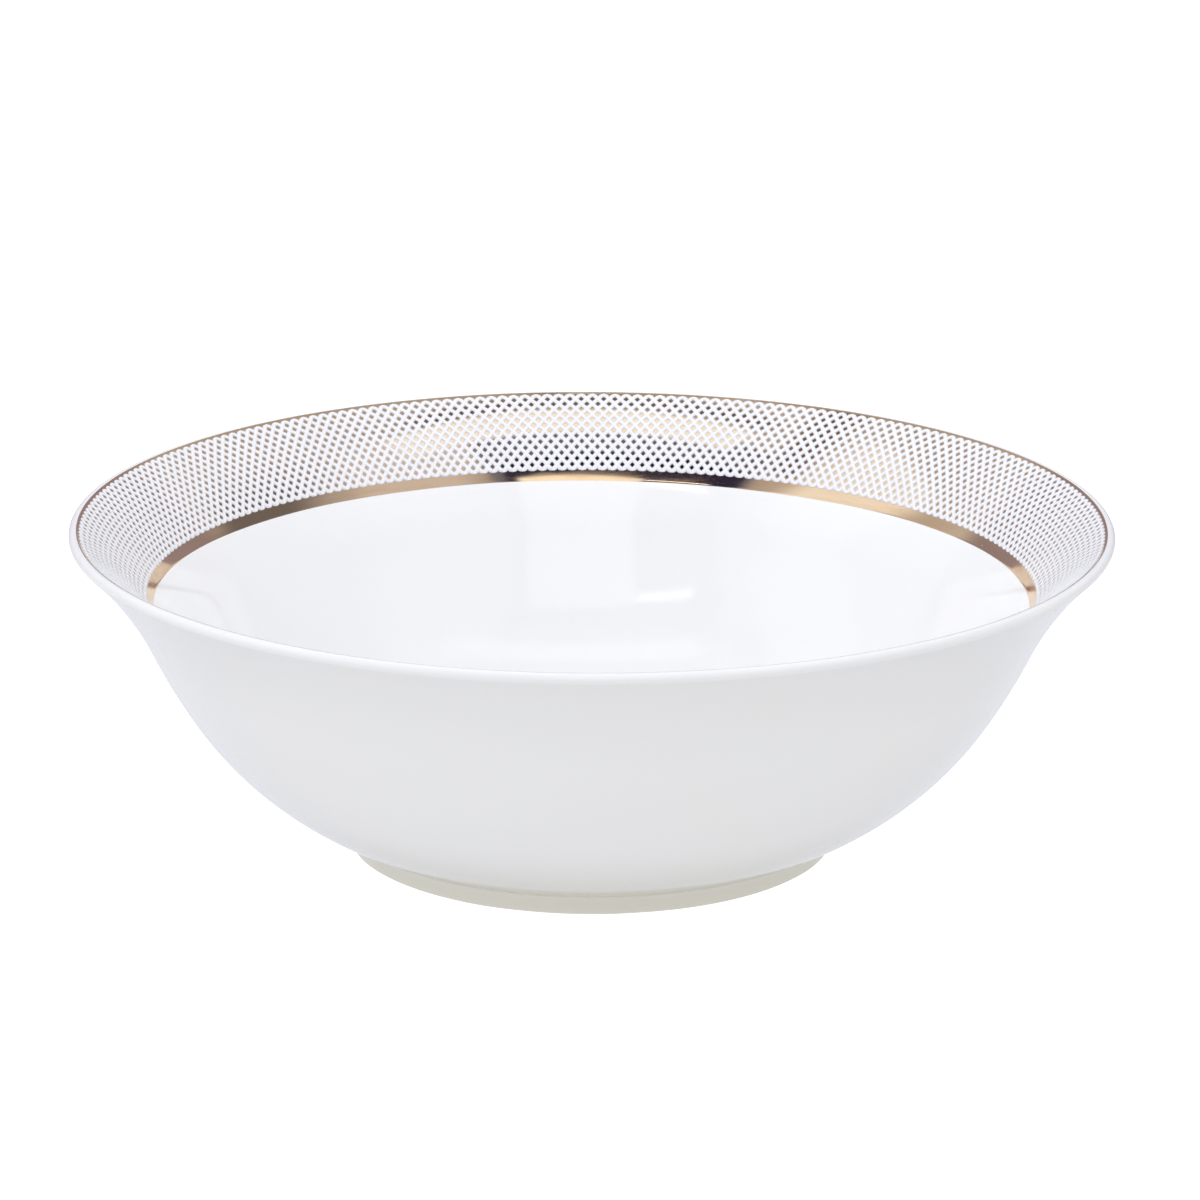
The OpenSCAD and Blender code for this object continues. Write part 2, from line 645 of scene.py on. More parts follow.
@dataclass
class MaterialBench:
    """Starts materials and places the shared effects in them.

    Attributes:
        effects: the shared effects.
    """

    effects: SurfaceEffects

    def start(self, name: str) -> tuple[bpy.types.Material, Wiring, bpy.types.Node]:
        """Starts a material.

        Args:
            name: the material's name.

        Returns:
            The material, its wiring and its Principled shader.
        """
        material = bpy.data.materials.new(name)
        material.use_nodes = True
        return material, Wiring(material.node_tree), material.node_tree.nodes["Principled BSDF"]

    def effect(self, wiring: Wiring, group: bpy.types.NodeTree, **values: float) -> bpy.types.Node:
        """Places a shared effect.

        Args:
            wiring: the material's wiring.
            group: the effect's group.
            values: the group's inputs, in small letters.

        Returns:
            The group's node.
        """
        node = wiring.add("ShaderNodeGroup", node_tree=group)
        for name, value in values.items():
            node.inputs[name.capitalize()].default_value = value
        return node

    def bump(self, wiring: Wiring, shader: bpy.types.Node, height: object, depth: float) -> None:
        """Raises a shader's surface by a height pattern.

        Args:
            wiring: the material's wiring.
            shader: the shader.
            height: the pattern.
            depth: the height, in metres, of a pattern value of 1.
        """
        node = wiring.add("ShaderNodeBump")
        node.inputs["Strength"].default_value = 1.0
        node.inputs["Distance"].default_value = depth
        wiring.feed(node.inputs["Height"], height)
        wiring.feed(shader.inputs["Normal"], node.outputs["Normal"])


# ---------------------------------------------------------------------------------------------
# Finishes
# ---------------------------------------------------------------------------------------------


@dataclass(frozen=True)
class GlazeFinish:
    """Clear glossy glaze over white china. It pools towards the foot, with a warm tint that also serves as
    painted shade there; the lip has painted shade too.

    Attributes:
        thin: colour where the coat is thin.
        pooled_and_shaded: colour towards the foot on the outside, the pooled glaze's warm tint and painted
            shade together.
        pool_and_shade_low: height below which that tint and painted shade are full.
        pool_and_shade_high: height above which there is no tint or painted shade.
        wall_centre: radius and height of the centre of the belly's arc.
        wall_radius: distance from that centre within which there is no tint or painted shade, to keep the
            inside clear.
        painted_shade_lip_height: height above which the lip is painted darker, as painted shade.
        painted_shade_on_lip: how much darker the painted shade makes the lip, 1 for no darker.
        speck: colour of the few specks in the body below it.
        roughness: how matt the gloss is at its smoothest.
    """

    thin: Colour = (0.905, 0.91, 0.925)
    pooled_and_shaded: Colour = (0.715, 0.70, 0.615)
    pool_and_shade_low: float = 1.0 * MM
    pool_and_shade_high: float = 25.0 * MM
    wall_centre: tuple[float, float] = (0.0, 0.0)
    wall_radius: float = -1.0
    painted_shade_lip_height: float = 71.0 * MM
    painted_shade_on_lip: float = 0.94
    speck: Colour = (0.45, 0.36, 0.26)
    roughness: float = 0.05

    def build(self, bench: MaterialBench, name: str) -> bpy.types.Material:
        """Builds the material.

        Args:
            bench: the bench to build it on.
            name: the material's name.

        Returns:
            The material.
        """
        material, wiring, shader = bench.start(name)
        ripple = bench.effect(wiring, bench.effects.ripple, scale=220.0)
        specks = bench.effect(wiring, bench.effects.specks, scale=42.0, size=0.007, share=0.10)
        place = wiring.add("ShaderNodeTexCoord").outputs["Object"]
        split = wiring.add("ShaderNodeSeparateXYZ")
        wiring.feed(split.inputs[0], place)
        height = wiring.math("MULTIPLY_ADD", ripple.outputs["Tone"], 0.5 * MM, split.outputs["Z"])
        # Painted shade: the warm tint is partly real pooled glaze and partly painted shade, darkening the
        # outside towards the foot.
        pooling_and_shade = wiring.ramp(height, self.pool_and_shade_high, self.pool_and_shade_low)
        outside = self._outside(wiring, place, split.outputs["Z"])
        warm = tuple(channel * shade for channel, shade in zip(self.thin, (1.0, 0.995, 0.985)))
        white = wiring.mix(ripple.outputs["Tone"], rgba(self.thin), rgba(warm))
        # Painted shade: the glaze is painted darker over the lip than on the rest of the bowl.
        lip = wiring.ramp(split.outputs["Z"], self.painted_shade_lip_height, self.painted_shade_lip_height + 1.0 * MM)
        shaded = tuple(channel * self.painted_shade_on_lip for channel in self.thin)
        clear = wiring.mix(lip, white, rgba(shaded))
        tinted_and_shaded = wiring.mix(wiring.math("MULTIPLY", pooling_and_shade, outside), clear, rgba(self.pooled_and_shaded))
        faint = wiring.math("MULTIPLY", specks.outputs["Mask"], 0.55)
        wiring.feed(shader.inputs["Base Color"], wiring.mix(faint, tinted_and_shaded, rgba(self.speck)))
        gloss = wiring.math("MULTIPLY_ADD", ripple.outputs["Tone"], 0.04, self.roughness)
        wiring.feed(shader.inputs["Roughness"], gloss)
        shader.inputs["IOR"].default_value = 1.5
        shader.inputs["Subsurface Weight"].default_value = 0.12
        shader.inputs["Subsurface Radius"].default_value = (1.0, 0.9, 0.75)
        shader.inputs["Subsurface Scale"].default_value = 2.0 * MM
        bench.bump(wiring, shader, ripple.outputs["Height"], depth=0.012 * MM)
        return material

    def _outside(self, wiring: Wiring, place: object, height: object) -> bpy.types.NodeSocket:
        """Tells the outside of the wall from the inside, by the distance from the belly's arc.

        Args:
            wiring: the material's wiring.
            place: the place on the bowl.
            height: its height.

        Returns:
            A mask that is 1 on the outside and 0 on the inside.
        """
        flat = wiring.vector("MULTIPLY", place, (1.0, 1.0, 0.0)).outputs["Vector"]
        radius = wiring.vector("LENGTH", flat).outputs["Value"]
        profile = wiring.add("ShaderNodeCombineXYZ")
        wiring.feed(profile.inputs["X"], wiring.math("SUBTRACT", radius, self.wall_centre[0]))
        wiring.feed(profile.inputs["Y"], wiring.math("SUBTRACT", height, self.wall_centre[1]))
        away = wiring.vector("LENGTH", profile.outputs[0]).outputs["Value"]
        return wiring.ramp(away, self.wall_radius, self.wall_radius + 0.7 * MM)


@dataclass(frozen=True)
class BareChinaFinish:
    """Unglazed fired china: fine grained and matt, rubbed a little grey where it has stood.

    Attributes:
        clay: colour of the clean body.
        rubbed: colour where shelves have marked it.
        roughness: how matt it is.
    """

    clay: Colour = (0.80, 0.78, 0.72)
    rubbed: Colour = (0.50, 0.47, 0.42)
    roughness: float = 0.72

    def build(self, bench: MaterialBench, name: str) -> bpy.types.Material:
        """Builds the material.

        Args:
            bench: the bench to build it on.
            name: the material's name.

        Returns:
            The material.
        """
        material, wiring, shader = bench.start(name)
        wheel = bench.effect(wiring, bench.effects.wheel_marks, around=6.0, across=1800.0)
        specks = bench.effect(wiring, bench.effects.specks, scale=700.0, size=0.22, share=0.06)
        worn = wiring.math("MULTIPLY", wheel.outputs["Streak"], 0.45)
        colour = wiring.mix(worn, rgba(self.clay), rgba(self.rubbed))
        grain = wiring.math("MULTIPLY", specks.outputs["Mask"], 0.5)
        wiring.feed(shader.inputs["Base Color"], wiring.mix(grain, colour, rgba(self.rubbed)))
        matt = wiring.math("MULTIPLY_ADD", wheel.outputs["Streak"], -0.12, self.roughness)
        wiring.feed(shader.inputs["Roughness"], matt)
        bench.bump(wiring, shader, wheel.outputs["Height"], depth=0.03 * MM)
        return material


@dataclass(frozen=True)
class GoldFinish:
    """Bright fired gold, as thin and smooth as the glaze below it.

    Attributes:
        gold: colour of the metal.
        deep: colour where the film is thicker and redder.
        roughness: how matt it is at its brightest.
        brush: how much the banding brush shows in the gloss, from 0 to 1.
        pits: share of the scatter's cells that hold a pit.
        pit: colour of a pit.
    """

    gold: Colour = (0.94, 0.70, 0.45)
    deep: Colour = (0.90, 0.64, 0.39)
    roughness: float = 0.07
    brush: float = 0.4
    pits: float = 0.08
    pit: Colour = (0.93, 0.80, 0.62)

    def build(self, bench: MaterialBench, name: str) -> bpy.types.Material:
        """Builds the material.

        Args:
            bench: the bench to build it on.
            name: the material's name.

        Returns:
            The material.
        """
        material, wiring, shader = bench.start(name)
        brush = bench.effect(wiring, bench.effects.wheel_marks, around=9.0, across=2600.0)
        specks = bench.effect(wiring, bench.effects.specks, scale=520.0, size=0.12, share=self.pits)
        colour = wiring.mix(brush.outputs["Streak"], rgba(self.gold), rgba(self.deep))
        pitted = wiring.math("MULTIPLY", specks.outputs["Mask"], 0.8)
        wiring.feed(shader.inputs["Base Color"], wiring.mix(pitted, colour, rgba(self.pit)))
        streaked = wiring.math("MULTIPLY_ADD", brush.outputs["Streak"], 0.14 * self.brush, self.roughness)
        rough = wiring.math("MULTIPLY_ADD", specks.outputs["Mask"], 0.5, streaked, clamp=True)
        wiring.feed(shader.inputs["Roughness"], rough)
        shader.inputs["Metallic"].default_value = 1.0
        bench.bump(wiring, shader, brush.outputs["Height"], depth=0.002 * MM * self.brush)
        return material


@dataclass(frozen=True)
class EnamelFinish:
    """Raised white enamel with a soft gloss. Where it thins out towards the openings it is greyer: partly the
    gold below dulling its white, partly painted shade on the strands' sides.

    Attributes:
        white: colour of the enamel at its full thickness.
        thin: colour where it thins out at the openings, partly the gold showing through and partly painted
            shade.
        full: thickness at which it is fully white.
        roughness: how matt it is.
    """

    white: Colour = (0.86, 0.865, 0.90)
    thin: Colour = (0.66, 0.67, 0.73)
    full: float = 0.2 * MM
    roughness: float = 0.25

    def build(self, bench: MaterialBench, name: str) -> bpy.types.Material:
        """Builds the material.

        Args:
            bench: the bench to build it on.
            name: the material's name.

        Returns:
            The material.
        """
        material, wiring, shader = bench.start(name)
        ripple = bench.effect(wiring, bench.effects.ripple, scale=900.0)
        greyer = tuple(channel * 0.97 for channel in self.white)
        colour = wiring.mix(ripple.outputs["Tone"], rgba(self.white), rgba(greyer))
        thickness = wiring.add("ShaderNodeAttribute", attribute_name=THICKNESS).outputs["Fac"]
        # Painted shade: the enamel greys towards the openings' edges, partly for the gold showing through and
        # partly for shade on the strands' sloping sides.
        covered_unshaded = wiring.ramp(thickness, self.full * 0.3, self.full)
        wiring.feed(shader.inputs["Base Color"], wiring.mix(covered_unshaded, rgba(self.thin), colour))
        matt = wiring.math("MULTIPLY_ADD", ripple.outputs["Tone"], 0.08, self.roughness)
        wiring.feed(shader.inputs["Roughness"], matt)
        bench.bump(wiring, shader, ripple.outputs["Height"], depth=0.004 * MM)
        return material


# ---------------------------------------------------------------------------------------------
# China and glaze
# ---------------------------------------------------------------------------------------------


@dataclass
class ChinaAndGlaze:
    """The foot ring and the two coats of glaze. The clay wall stays as its CAD node under the glaze.

    Attributes:
        section: the bowl's outline.
        lathe: turns the outlines.
        bench: builds the materials.
        step: longest step along the skin.
    """

    section: BowlSection
    lathe: Lathe
    bench: MaterialBench
    step: float = 1.25 * MM

    def build(self) -> None:
        """Makes the pieces and dresses them, with the CAD clay wall."""
        clay = BareChinaFinish().build(self.bench, "fired_china")
        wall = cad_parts["china_body"]
        wall.data.materials.clear()
        wall.data.materials.append(clay)
        bare = BareChinaFinish().build(self.bench, "bare_china")
        belly = self.section.belly_radius
        coat = GlazeFinish(wall_centre=self.section.spring.lifted(-belly), wall_radius=belly - 1.5 * MM)
        under = GlazeFinish(thin=(0.84, 0.84, 0.83), pool_and_shade_low=0.2 * MM, pool_and_shade_high=1.2 * MM)
        hand_over(self.foot_ring(), "foot_ring", bare)
        hand_over(self.glaze_coat(), "glaze_coat", coat.build(self.bench, "clear_glaze"))
        hand_over(self.base_glaze(), "base_glaze", under.build(self.bench, "under_glaze"))

    def skin(self) -> list[Station]:
        """Walks the whole glazed skin.

        Returns:
            The stations, from the foot's bevel to the centre of the floor.
        """
        outside = self.section.outside(self.step)
        bare, gilt = self.section.lip(outside[-1])
        return [*self.section.foot_outside(), *outside[1:], *bare, *gilt, *self.section.inside(self.step)]

    def foot_ring(self) -> bpy.types.Object:
        """Turns the foot ring, with its bare resting face and bevelled edges.

        Returns:
            The piece.
        """
        section = self.section
        outer = [s.lifted(-section.glaze) for s in section.foot_outside()]
        inner_low = section.foot_inner_top + section.foot_lean
        bevel = section.foot_bevel
        inner = [
            (section.foot_inner_top, section.joint_height),
            (inner_low, bevel),
            (inner_low + bevel, 0.0),
            (outer[0][0] - bevel, 0.0),
        ]
        return self.lathe.turn("foot_ring_bare", lambda angle: outer + inner)

    def glaze_coat(self) -> bpy.types.Object:
        """Turns the coat over the foot's flank, the outside, the lip and the whole inside.

        Returns:
            The piece.
        """
        skin = self.skin()
        under = skin[::3] + ([] if len(skin) % 3 == 1 else [skin[-1]])
        outline = [s.lifted(0.0) for s in skin] + [s.lifted(-self.section.glaze) for s in reversed(under)]
        return self.lathe.turn("glaze_coat_smooth", lambda angle: outline)

    def base_glaze(self) -> bpy.types.Object:
        """Turns the coat under the well and down the foot's inner side.

        Returns:
            The piece.
        """
        section = self.section
        top = section.joint_height
        inner_low = section.foot_inner_top + section.foot_lean
        cove = 0.8 * MM
        corner = (section.foot_inner_top - section.glaze, top - section.glaze)
        cove_steps, floor_rings = 6, 10
        rounded = [
            (corner[0] - cove * (1 - math.sin(t)), corner[1] - cove * (1 - math.cos(t)))
            for t in (math.radians(90 * i / cove_steps) for i in range(cove_steps + 1))
        ]
        radii = [corner[0] * i / floor_rings for i in range(floor_rings)]
        flat = [(r, corner[1]) for r in radii if r < rounded[0][0]]
        back = [(inner_low - section.glaze, section.foot_bevel), (inner_low, section.foot_bevel)]
        outline = flat + rounded + back + [(section.foot_inner_top, top), (0.0, top)]
        return self.lathe.turn("base_glaze_smooth", lambda angle: outline)


# ---------------------------------------------------------------------------------------------
# Gold
# ---------------------------------------------------------------------------------------------


@dataclass(frozen=True)
class HandWaver:
    """How far a line banded by hand strays from true, as a few slow waves round the bowl.

    Attributes:
        waves: for each wave, its size in metres, its count round the bowl and its start in radians.
    """

    waves: tuple[tuple[float, int, float], ...]

    def at(self, angle: float) -> float:
        """Gives the stray at an angle."""
        return sum(size * math.sin(count * angle + start) for size, count, start in self.waves)


@dataclass
class GoldWork:
    """The gold line on the lip, the gold ground under the net and the plain band below it.

    Attributes:
        section: the bowl's outline.
        layout: where the gold lies.
        lathe: turns the outlines.
        bench: builds the materials.
        band_waver: how the band's inner edge strays.
        line_waver: how the line's outer edge strays.
    """

    section: BowlSection
    layout: BorderLayout
    lathe: Lathe
    bench: MaterialBench
    band_waver: HandWaver = HandWaver(((0.11 * MM, 2, 0.9), (0.06 * MM, 5, 2.1), (0.025 * MM, 13, 0.4)))
    line_waver: HandWaver = HandWaver(((0.05 * MM, 3, 0.2), (0.03 * MM, 7, 1.7)))

    def build(self) -> None:
        """Makes the three gold pieces and dresses them."""
        line = GoldFinish(roughness=0.12, brush=0.6).build(self.bench, "line_gold")
        ground = GoldFinish(roughness=0.06, brush=0.2, pits=0.03).build(self.bench, "ground_gold")
        band = GoldFinish().build(self.bench, "band_gold")
        hand_over(self.edge_line(), "gold_edge_line", line)
        hand_over(self.ground(), "gold_ground", ground)
        hand_over(self.band(), "gold_band", band)

    def film(self, stations: Sequence[Station], thin_first: bool, thin_last: bool) -> Outline:
        """Lays a gold film on the skin.

        Args:
            stations: the skin below the film.
            thin_first: whether the film fades out at the first station.
            thin_last: whether it fades out at the last one.

        Returns:
            The film's closed outline.
        """
        last = len(stations) - 1
        feather = 0.25
        lifts = [self.layout.gold] * len(stations)
        lifts[0] *= feather if thin_first else 1.0
        lifts[last] *= feather if thin_last else 1.0
        top = [s.lifted(lift) for s, lift in zip(stations, lifts)]
        return top + [s.lifted(0.0) for s in reversed(stations)]

    def flare(self, start: float, end: float, count: int) -> list[Station]:
        """Gives evenly spaced stations on the inner flare."""
        return [self.section.on_flare(start + (end - start) * i / count) for i in range(count + 1)]

    def edge_line(self) -> bpy.types.Object:
        """Turns the gold line, whose outer edge strays a little on the lip.

        Returns:
            The piece.
        """
        section = self.section
        lip_start = section.lip(section.outside(1 * MM)[-1])[0][-1]
        flare = self.flare(0.0, self.layout.line_end, count=2)

        def outline(angle: float) -> Outline:
            """Gives the line's section.

            Args:
                angle: the angle round the bowl, in radians.

            Returns:
                The section's closed outline.
            """
            stray = self.line_waver.at(angle) / section.lip_radius
            start = lip_start.travel(section.lip_radius, stray) if stray else lip_start
            sweep = section.flare_heading - start.heading
            on_lip = [start.travel(section.lip_radius, sweep * share) for share in (0.12, 0.4, 0.7)]
            return self.film([start, *on_lip, *flare], thin_first=True, thin_last=False)

        return self.lathe.turn("gold_edge_line_fired", outline)

    def ground(self) -> bpy.types.Object:
        """Turns the gold ground under the net.

        Returns:
            The piece.
        """
        stations = self.flare(self.layout.line_end, self.layout.ground_end, count=40)
        outline = self.film(stations, thin_first=False, thin_last=False)
        return self.lathe.turn("gold_ground_fired", lambda angle: outline)

    def band(self) -> bpy.types.Object:
        """Turns the plain band, whose inner edge strays as a hand-banded one does.

        Returns:
            The piece.
        """
        layout = self.layout
        feather_width = 0.12 * MM

        def outline(angle: float) -> Outline:
            """Gives the band's section.

            Args:
                angle: the angle round the bowl, in radians.

            Returns:
                The section's closed outline.
            """
            end = layout.band_end + self.band_waver.at(angle)
            stations = self.flare(layout.ground_end, end - feather_width, count=9)
            return self.film([*stations, self.section.on_flare(end)], thin_first=False, thin_last=True)

        return self.lathe.turn("gold_band_fired", outline)


# ---------------------------------------------------------------------------------------------
# Enamel net
# ---------------------------------------------------------------------------------------------


class NetEdge(Enum):
    """The two scalloped edges of the net. The value is the side that the scallops face."""

    LIP = -1
    BAND = 1


@dataclass(frozen=True)
class NetTiles:
    """The flat tiles that the net is laid from.

    X is in column pitches, Y is metres down the flare and Z is metres above the gold. A tile is
    the lozenge round one opening, and its corners meet the corners of the tiles beside it.

    Attributes:
        layout: the border's sizes.
        opening_half_width: half an opening's width, in column pitches.
        opening_half_height: half an opening's height.
        wall: how far an opening's wall leans back.
        shoulder: height of the wall's top, as a share of the enamel's height.
        wall_in_pitches: how far the wall leans back along X, in column pitches.
        roundness: how far an opening's sides bulge, 1 for straight sides.
    """

    layout: BorderLayout
    opening_half_width: float = 0.222
    opening_half_height: float = 0.60 * MM
    wall: float = 0.07 * MM
    shoulder: float = 0.5
    wall_in_pitches: float = 0.028
    roundness: float = 1.10

    @staticmethod
    def _object(name: str, points: Sequence[Point], faces: Sequence[Sequence[int]]) -> bpy.types.Object:
        """Makes an object from points and faces, outside every collection.

        Args:
            name: the object's name.
            points: its points.
            faces: each face's points.

        Returns:
            The object.
        """
        mesh = bpy.data.meshes.new(name)
        mesh.from_pydata(points, [], faces)
        mesh.update()
        return bpy.data.objects.new(name, mesh)

    @staticmethod
    def _lozenge(half_width: float, half_height: float, height: float,
                 roundness: float = 1.0) -> list[Point]:
        """Gives a lozenge's four corners and four side middles, anticlockwise.

        Args:
            half_width: half its width.
            half_height: half its height.
            height: its Z.
            roundness: how far the side middles bulge, 1 for straight sides.

        Returns:
            The eight points.
        """
        bulge = 0.5 * roundness
        shape = ((1, 0), (bulge, bulge), (0, 1), (-bulge, bulge),
                 (-1, 0), (-bulge, -bulge), (0, -1), (bulge, -bulge))
        return [(x * half_width, y * half_height, height) for x, y in shape]

    def opening(self) -> bpy.types.Object:
        """Makes the tile round one opening: its wall, its rounded top and its underside.

        Returns:
            The tile.
        """
        top = self.layout.enamel
        a, b = self.opening_half_width, self.opening_half_height
        rings = (
            self._lozenge(0.5, self.layout.row_pitch, 0.0),
            self._lozenge(a, b, 0.0, self.roundness),
            self._lozenge(a + self.wall_in_pitches, b + self.wall, top * self.shoulder, self.roundness),
            self._lozenge(0.5, self.layout.row_pitch, top),
        )
        points = [point for ring in rings for point in ring]
        size = len(rings[0])
        faces = []
        for start in range(0, size * (len(rings) - 1), size):
            for i in range(size):
                turned = (i + 1) % size
                faces.append((start + i, start + turned, start + size + turned, start + size + i))
        flipped = [tuple(reversed(face)) for face in faces]
        return self._object("net_opening_tile", points, flipped)

    def edge(self, side: NetEdge, lobe: float, notch: float) -> bpy.types.Object:
        """Makes the tile between two columns at a scalloped edge.

        Args:
            side: which edge of the net it is for.
            lobe: how far a scallop reaches beyond the last row.
            notch: how far the notch between two scallops stays beyond the last row.

        Returns:
            The tile, with X = 0 at the notch.
        """
        top = self.layout.enamel
        turns = [math.radians(angle) for angle in (90, 60, 40, 20, 0)]
        half = [(0.5 * (1 - math.cos(t)), notch + (lobe - notch) * math.sin(t), t) for t in turns]
        arch = [(-x, y, t) for x, y, t in half] + [(x, y, t) for x, y, t in reversed(half[:-1])]
        foot = [(x, y, 0.0) for x, y, t in arch]
        rim = [
            (x + math.copysign(self.wall_in_pitches * 0.6, x) * math.cos(t) if 0 < abs(x) < 0.5 else x,
             y - self.wall, top * self.shoulder)
            for x, y, t in arch
        ]
        pitch = self.layout.row_pitch
        seat = ((-0.5, pitch), (-0.25, pitch / 2), (0.0, 0.0), (0.25, pitch / 2), (0.5, pitch))
        crest = [(x, y, top) for x, y in seat]
        under = [(x, y, 0.0) for x, y in seat]
        points = [(x, side.value * y, z) for x, y, z in foot + rim + crest + under]
        rim_start, crest_start = len(foot), len(foot + rim)
        under_start = crest_start + len(crest)
        faces = [(rim_start + i, rim_start + i + 1, i + 1, i) for i in range(len(foot) - 1)]
        for i in range(len(seat) - 1):
            arch_rim = [rim_start + 2 * i + j for j in (2, 1, 0)]
            faces.append((crest_start + i, crest_start + i + 1, *arch_rim))
            faces.append((under_start + i + 1, under_start + i, 2 * i, 2 * i + 1, 2 * i + 2))
        if side is NetEdge.LIP:
            faces = [tuple(reversed(face)) for face in faces]
        return self._object(f"net_{side.name.lower()}_tile", points, faces)


@dataclass
class EnamelNet:
    """The raised white net, laid tile by tile on the flat and wrapped on to the inner flare.

    Attributes:
        section: the bowl's outline.
        layout: the border's sizes.
        bench: builds the material.
    """

    section: BowlSection
    layout: BorderLayout
    bench: MaterialBench

    def build(self) -> None:
        """Makes the net, bakes it to a plain mesh and dresses it."""
        enamel = EnamelFinish().build(self.bench, "white_enamel")
        tiles = NetTiles(self.layout)
        parts = {
            "Opening Tile": tiles.opening(),
            "Lip Tile": tiles.edge(NetEdge.LIP, lobe=1.58 * MM, notch=0.74 * MM),
            "Band Tile": tiles.edge(NetEdge.BAND, lobe=1.60 * MM, notch=1.02 * MM),
        }
        flare = self.section.on_flare(0.0)
        radius = self.section.inner_flare_radius
        values = {
            "Columns": self.layout.columns,
            "Rows": self.layout.rows,
            "Row Pitch": self.layout.row_pitch,
            "Flare Radius": radius,
            "Flare Centre Radius": flare.radius - radius * math.sin(flare.heading),
            "Flare Centre Height": flare.height + radius * math.cos(flare.heading),
            "First Heading": self.section.on_flare(self.layout.first_row).heading,
            "Lift": self.layout.gold,
            "Enamel": enamel,
            **parts,
        }
        host = bpy.data.objects.new("net_host", bpy.data.meshes.new("net_host"))
        bpy.context.scene.collection.objects.link(host)
        modifier = host.modifiers.new("net", "NODES")
        modifier.node_group = self.tree()
        for item in modifier.node_group.interface.items_tree:
            if item.item_type == "SOCKET" and item.in_out == "INPUT" and item.name in values:
                modifier[item.identifier] = values[item.name]
        graph = bpy.context.evaluated_depsgraph_get()
        mesh = bpy.data.meshes.new_from_object(host.evaluated_get(graph))
        bpy.data.objects.remove(host)
        for tile in parts.values():
            bpy.data.objects.remove(tile)
        mesh.name = "enamel_net_raised"
        mesh.shade_smooth()
        net = bpy.data.objects.new("enamel_net_raised", mesh)
        bpy.context.scene.collection.objects.link(net)
        hand_over(net, "enamel_net", enamel)

    def tree(self) -> bpy.types.NodeTree:
        """Builds the Geometry Nodes tree that lays, wraps and welds the tiles.

        Returns:
            The tree.
        """
        tree = bpy.data.node_groups.new("enamel_net", "GeometryNodeTree")
        lengths = ("Row Pitch", "Flare Radius", "Flare Centre Radius", "Flare Centre Height", "Lift")
        sockets = {
            "NodeSocketInt": ("Columns", "Rows"),
            "NodeSocketFloat": (*lengths, "First Heading"),
            "NodeSocketMaterial": ("Enamel",),
            "NodeSocketObject": ("Opening Tile", "Lip Tile", "Band Tile"),
        }
        for kind, names in sockets.items():
            for name in names:
                tree.interface.new_socket(name, in_out="INPUT", socket_type=kind)
        tree.interface.new_socket("Geometry", in_out="OUTPUT", socket_type="NodeSocketGeometry")
        wiring = Wiring(tree)
        given = wiring.add("NodeGroupInput").outputs
        last_row = wiring.math("MULTIPLY", wiring.math("SUBTRACT", given["Rows"], 1.0), given["Row Pitch"])
        openings = wiring.math("MULTIPLY", given["Columns"], given["Rows"])
        laid = wiring.add("GeometryNodeJoinGeometry")
        for tile, count, shift, start in (
            ("Opening Tile", openings, 0.0, 0.0),
            ("Lip Tile", given["Columns"], 0.5, 0.0),
            ("Band Tile", given["Columns"], 0.5, last_row),
        ):
            placed = self._lay(wiring, given, tile, count, shift, start)
            wiring.tree.links.new(placed, laid.inputs["Geometry"])
        real = wiring.add("GeometryNodeRealizeInstances")
        wiring.feed(real.inputs["Geometry"], laid.outputs["Geometry"])
        welded = wiring.add("GeometryNodeMergeByDistance")
        wiring.feed(welded.inputs["Geometry"], self._wrap(wiring, given, real.outputs["Geometry"]))
        wiring.feed(welded.inputs["Distance"], 0.002 * MM)
        dressed = wiring.add("GeometryNodeSetMaterial")
        wiring.feed(dressed.inputs["Geometry"], welded.outputs["Geometry"])
        wiring.feed(dressed.inputs["Material"], given["Enamel"])
        result = wiring.add("NodeGroupOutput")
        wiring.feed(result.inputs["Geometry"], dressed.outputs["Geometry"])
        return tree

    @staticmethod
    def _lay(wiring: Wiring, given: object, tile: str, count: object, shift: float,
             start: object) -> bpy.types.NodeSocket:
        """Lays one kind of tile on the flat, in staggered rows.

        Args:
            wiring: the tree's wiring.
            given: the tree's inputs.
            tile: the input that holds the tile.
            count: how many tiles to lay.
            shift: how far the tiles are moved along X, in column pitches.
            start: Y of the first row.

        Returns:
            The tiles as instances.
        """
        points = wiring.add("GeometryNodePoints")
        wiring.feed(points.inputs["Count"], count)
        index = wiring.add("GeometryNodeInputIndex").outputs[0]
        row = wiring.math("FLOOR", wiring.math("DIVIDE", index, given["Columns"]))
        column = wiring.math("SUBTRACT", index, wiring.math("MULTIPLY", row, given["Columns"]))
        stagger = wiring.math("MULTIPLY", wiring.math("FLOORED_MODULO", row, 2.0), 0.5)
        place = wiring.add("ShaderNodeCombineXYZ")
        along = wiring.math("ADD", wiring.math("ADD", column, stagger), shift)
        wiring.feed(place.inputs["X"], along)
        wiring.feed(place.inputs["Y"], wiring.math("MULTIPLY_ADD", row, given["Row Pitch"], start))
        wiring.feed(points.inputs["Position"], place.outputs[0])
        shape = wiring.add("GeometryNodeObjectInfo")
        wiring.feed(shape.inputs["Object"], given[tile])
        laid = wiring.add("GeometryNodeInstanceOnPoints")
        wiring.feed(laid.inputs["Points"], points.outputs[0])
        wiring.feed(laid.inputs["Instance"], shape.outputs["Geometry"])
        return laid.outputs["Instances"]

